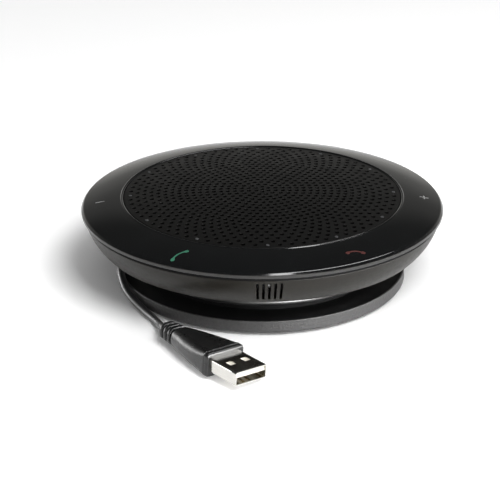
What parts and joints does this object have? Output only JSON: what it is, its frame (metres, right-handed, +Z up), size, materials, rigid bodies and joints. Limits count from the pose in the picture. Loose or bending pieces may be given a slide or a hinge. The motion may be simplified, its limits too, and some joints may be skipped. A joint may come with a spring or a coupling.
{
  "type": "conference speakerphone",
  "caption": "Round desk speakerphone with a touch ring around a perforated speaker dome, a bowl casing, a neck that stores its cord, and a cord with a plug.",
  "frame": {"origin": "centre of the rubber foot's underside, on the desk", "axes": "+Z up through the speaker dome, -Y towards the microphone slots at the front"},
  "size_m": [0.12, 0.1468, 0.0312],
  "materials": {
    "gloss_black": "gloss",
    "flex_amber": "satin polyimide film",
    "grille_black": "fine matt paint",
    "acoustic_cloth": "fine woven cloth",
    "black_plastic": "fine matt",
    "casing_satin": "satin",
    "base_grey": "fine texture, satin",
    "rubber_black": "matt",
    "steel": "zinc plated",
    "board_green": "solder mask",
    "white_plastic": "matt",
    "clear_plastic": "clear",
    "basket_black": "black paint",
    "zinc_steel": "zinc plated",
    "ferrite": "ground ferrite",
    "copper": "enamelled copper",
    "cone_paper": "pressed paper",
    "spider_cloth": "impregnated cloth",
    "foam_black": "closed foam",
    "wire_red": "satin",
    "chip_black": "moulded epoxy",
    "tin_plate": "tin plated",
    "capacitor_blue": "sleeve",
    "ivory_plastic": "satin",
    "cord_black": "satin",
    "grip_black": "satin moulded",
    "plug_nickel": "nickel plated",
    "gold": "gold plated"
  },
  "bodies": {
    "chassis": {"touch_ring": "gloss_black", "touch_film": "flex_amber", "speaker_grille": "grille_black", "acoustic_mesh": "acoustic_cloth", "upper_chassis": "black_plastic", "lower_casing": "casing_satin", "neck_drum": "black_plastic", "cord_flange": "black_plastic", "base_plate": "base_grey", "foot_ring": "rubber_black", "base_screws": "steel", "chassis_screws": "steel", "cord_gland": "rubber_black", "light_board": "board_green", "indicator_leds": "white_plastic", "light_pipes": "clear_plastic", "driver_basket": "basket_black", "driver_yoke": "zinc_steel", "driver_magnet": "ferrite", "driver_top_plate": "zinc_steel", "cone_surround": "rubber_black", "spider": "spider_cloth", "driver_gasket": "foam_black", "driver_screws": "steel", "driver_terminals": "copper", "speaker_leads": "wire_red", "main_board": "board_green", "board_screws": "steel", "processor_chip": "chip_black", "amplifier_chip": "chip_black", "shield_can": "tin_plate", "board_capacitors": "capacitor_blue", "usb_header": "ivory_plastic", "lead_sockets": "ivory_plastic", "ribbon_cable": "flex_amber", "ribbon_socket": "ivory_plastic", "mic_boot": "rubber_black", "mic_capsule": "tin_plate", "mic_leads": "wire_red", "headset_jack": "black_plastic", "jack_board": "board_green", "jack_leads": "cord_black", "cord_tail": "cord_black", "cord_coil": "cord_black", "cord_lead": "cord_black", "plug_grip": "grip_black", "plug_shell": "plug_nickel", "plug_tongue": "ivory_plastic", "plug_contacts": "gold"},
    "diaphragm": {"voice_coil": "copper", "speaker_cone": "cone_paper", "dust_cap": "cone_paper"}
  },
  "joints": [
    {"name": "cone_travel", "type": "slide", "parent": "chassis", "child": "diaphragm", "axis": [0, 0, 1], "range_m": [-0.0015, 0.0015], "stiffness_N_per_m": 800, "deforming": ["cone_surround", "spider"]}
  ]
}
